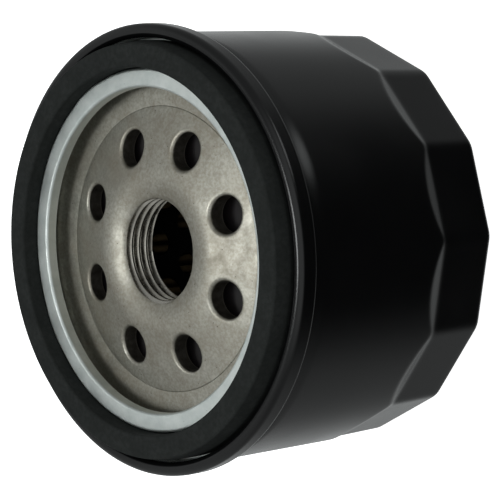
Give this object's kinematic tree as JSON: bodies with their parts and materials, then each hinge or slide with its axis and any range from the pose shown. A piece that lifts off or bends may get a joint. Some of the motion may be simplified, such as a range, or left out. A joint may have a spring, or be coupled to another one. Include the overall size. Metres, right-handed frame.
{
  "type": "oil filter",
  "caption": "Short black spin-on oil filter: fluted steel can, coned steel plate with a threaded hub and oil inlet holes, square-cut rubber gasket, pleated element and sprung valves inside.",
  "frame": {"origin": "centre of the closed end, which the filter stands on", "axes": "+Z along the filter's axis, from the closed end to the gasket; +X through a ridge between two wrench flats"},
  "size_m": [0.0762, 0.0762, 0.0496],
  "materials": {
    "black_can_paint": "satin baked enamel on drawn steel",
    "zinc_lid": "zinc-plated stamped steel, its seam painted with the can",
    "bare_plate_steel": "bare pickled steel, oiled",
    "gasket_rubber": "matte moulded nitrile",
    "valve_rubber": "matte moulded nitrile",
    "seam_compound": "cured lining compound",
    "tinplate": "tinplate",
    "filter_paper": "resin-treated cellulose",
    "adhesive": "cured plastisol",
    "moulded_nylon": "moulded nylon",
    "spring_steel": "oil-tempered spring steel",
    "weld_metal": "projection weld"
  },
  "bodies": {
    "casing": {"canister": "black_can_paint", "seaming_lid": "zinc_lid", "seam_sealant": "seam_compound", "sealing_gasket": "gasket_rubber", "threaded_plate": "bare_plate_steel", "weld_nuggets": "weld_metal", "upper_end_cap": "tinplate", "upper_potting": "adhesive", "pleated_media": "filter_paper", "media_seam_clip": "tinplate", "centre_tube": "tinplate", "lower_potting": "adhesive", "lower_end_cap": "tinplate", "bypass_cup": "tinplate", "bypass_spring": "spring_steel", "bypass_cage": "tinplate", "element_support_spring": "spring_steel"},
    "bypass_valve": {"bypass_poppet": "moulded_nylon", "bypass_seal": "valve_rubber"},
    "drain_flap": {"anti_drain_back_valve": "valve_rubber"}
  },
  "joints": [
    {"name": "bypass_lift", "type": "slide", "parent": "casing", "child": "bypass_valve", "axis": [0, 0, 1], "range_m": [0, 0.0025], "stiffness_N_per_m": 1600, "springref_m": -0.005, "deforming": ["bypass_spring"]},
    {"name": "drain_flap_open", "type": "slide", "parent": "casing", "child": "drain_flap", "axis": [0, 0, -1], "range_m": [0, 0.0015], "stiffness_N_per_m": 150, "springref_m": -0.002, "deforming": ["anti_drain_back_valve"]}
  ]
}
